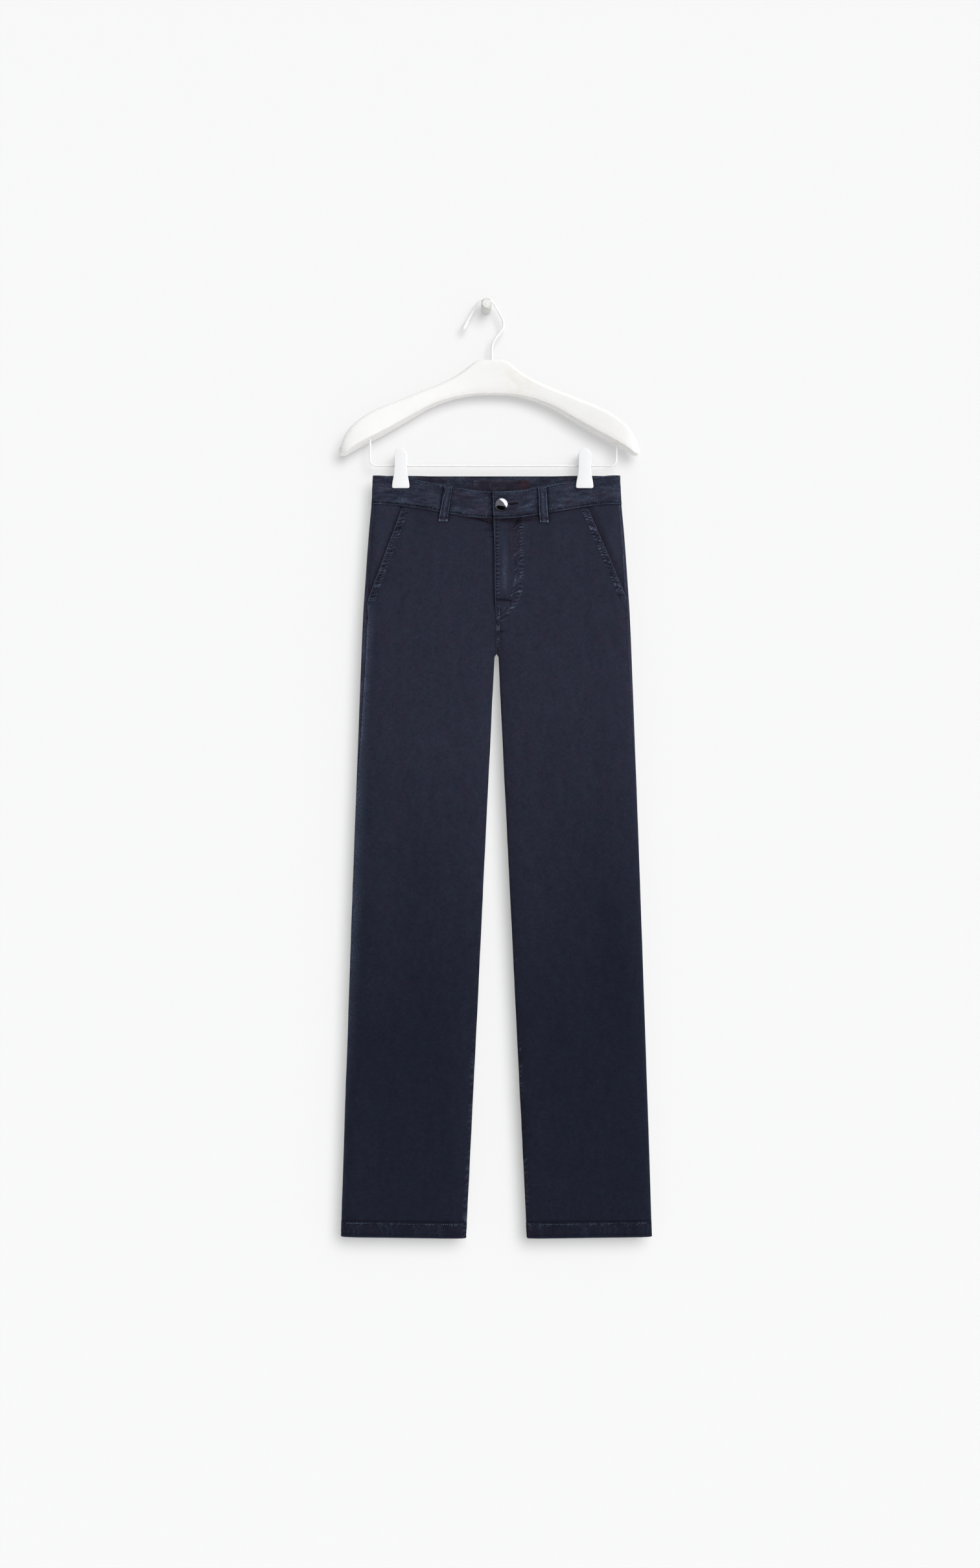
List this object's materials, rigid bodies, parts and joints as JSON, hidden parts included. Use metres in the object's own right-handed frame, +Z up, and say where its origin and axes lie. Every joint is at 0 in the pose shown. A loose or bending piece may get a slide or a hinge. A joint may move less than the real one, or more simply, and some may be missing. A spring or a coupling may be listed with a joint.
{
  "type": "chino trousers on a clip hanger and wall peg",
  "caption": "Straight-leg chino trousers hanging flat by the waistband from a contoured clip hanger, whose hook rests on a round wall peg.",
  "frame": {"origin": "centre of the wall peg's back face, on the wall", "axes": "+Z up, along the trousers; +Y into the wall, so the trousers' front faces -Y; +X to the right of someone who faces them (the wearer's left)"},
  "size_m": [0.4564, 0.046, 1.3796],
  "materials": {
    "front_panel_r_twill": "dark navy cotton twill, matt, a little faded at the edges",
    "front_panel_l_twill": "dark navy cotton twill, matt, a little faded at the edges",
    "back_panel_r_twill": "dark navy cotton twill, matt, a little faded at the edges",
    "back_panel_l_twill": "dark navy cotton twill, matt, a little faded at the edges",
    "pocket_facing_r_twill": "dark navy cotton twill, matt, a little faded at the edges",
    "pocket_facing_l_twill": "dark navy cotton twill, matt, a little faded at the edges",
    "waistband_r_twill": "dark navy cotton twill, matt, a little faded at the edges",
    "waistband_l_twill": "dark navy cotton twill, matt, a little faded at the edges",
    "fly_shield_twill": "dark navy cotton twill, matt, a little faded at the edges",
    "belt_loop_front_r_twill": "dark navy cotton twill, matt, a little faded at the edges",
    "belt_loop_front_l_twill": "dark navy cotton twill, matt, a little faded at the edges",
    "belt_loop_back_r_twill": "dark navy cotton twill, matt, a little faded at the edges",
    "belt_loop_back_centre_twill": "dark navy cotton twill, matt, a little faded at the edges",
    "belt_loop_back_l_twill": "dark navy cotton twill, matt, a little faded at the edges",
    "inner_label_cloth": "dark woven patch, bare",
    "button_metal": "dark nickel, domed and polished",
    "hanger_body_white": "white paint, satin",
    "hanger_hook_white": "white paint, satin",
    "hook_tip_white": "white paint, satin",
    "hanger_bar_white": "white paint, satin",
    "clip_jaw_front_r_white": "white paint, satin",
    "clip_jaw_front_l_white": "white paint, satin",
    "clip_jaw_back_r_white": "white paint, satin",
    "clip_jaw_back_l_white": "white paint, satin",
    "clip_barrel_r_white": "white paint, satin",
    "clip_barrel_l_white": "white paint, satin",
    "wall_peg_paint": "white paint, a few dark chips round the rim"
  },
  "bodies": {
    "root": {"front_panel_r": "front_panel_r_twill", "front_panel_l": "front_panel_l_twill", "back_panel_r": "back_panel_r_twill", "back_panel_l": "back_panel_l_twill", "pocket_facing_r": "pocket_facing_r_twill", "pocket_facing_l": "pocket_facing_l_twill", "waistband_r": "waistband_r_twill", "waistband_l": "waistband_l_twill", "fly_shield": "fly_shield_twill", "belt_loop_front_r": "belt_loop_front_r_twill", "belt_loop_front_l": "belt_loop_front_l_twill", "belt_loop_back_r": "belt_loop_back_r_twill", "belt_loop_back_centre": "belt_loop_back_centre_twill", "belt_loop_back_l": "belt_loop_back_l_twill", "inner_label": "inner_label_cloth", "button": "button_metal", "hanger_body": "hanger_body_white", "hanger_hook": "hanger_hook_white", "hook_tip": "hook_tip_white", "hanger_bar": "hanger_bar_white", "clip_jaw_front_r": "clip_jaw_front_r_white", "clip_jaw_front_l": "clip_jaw_front_l_white", "clip_jaw_back_r": "clip_jaw_back_r_white", "clip_jaw_back_l": "clip_jaw_back_l_white", "clip_barrel_r": "clip_barrel_r_white", "clip_barrel_l": "clip_barrel_l_white", "wall_peg": "wall_peg_paint"}
  },
  "joints": []
}
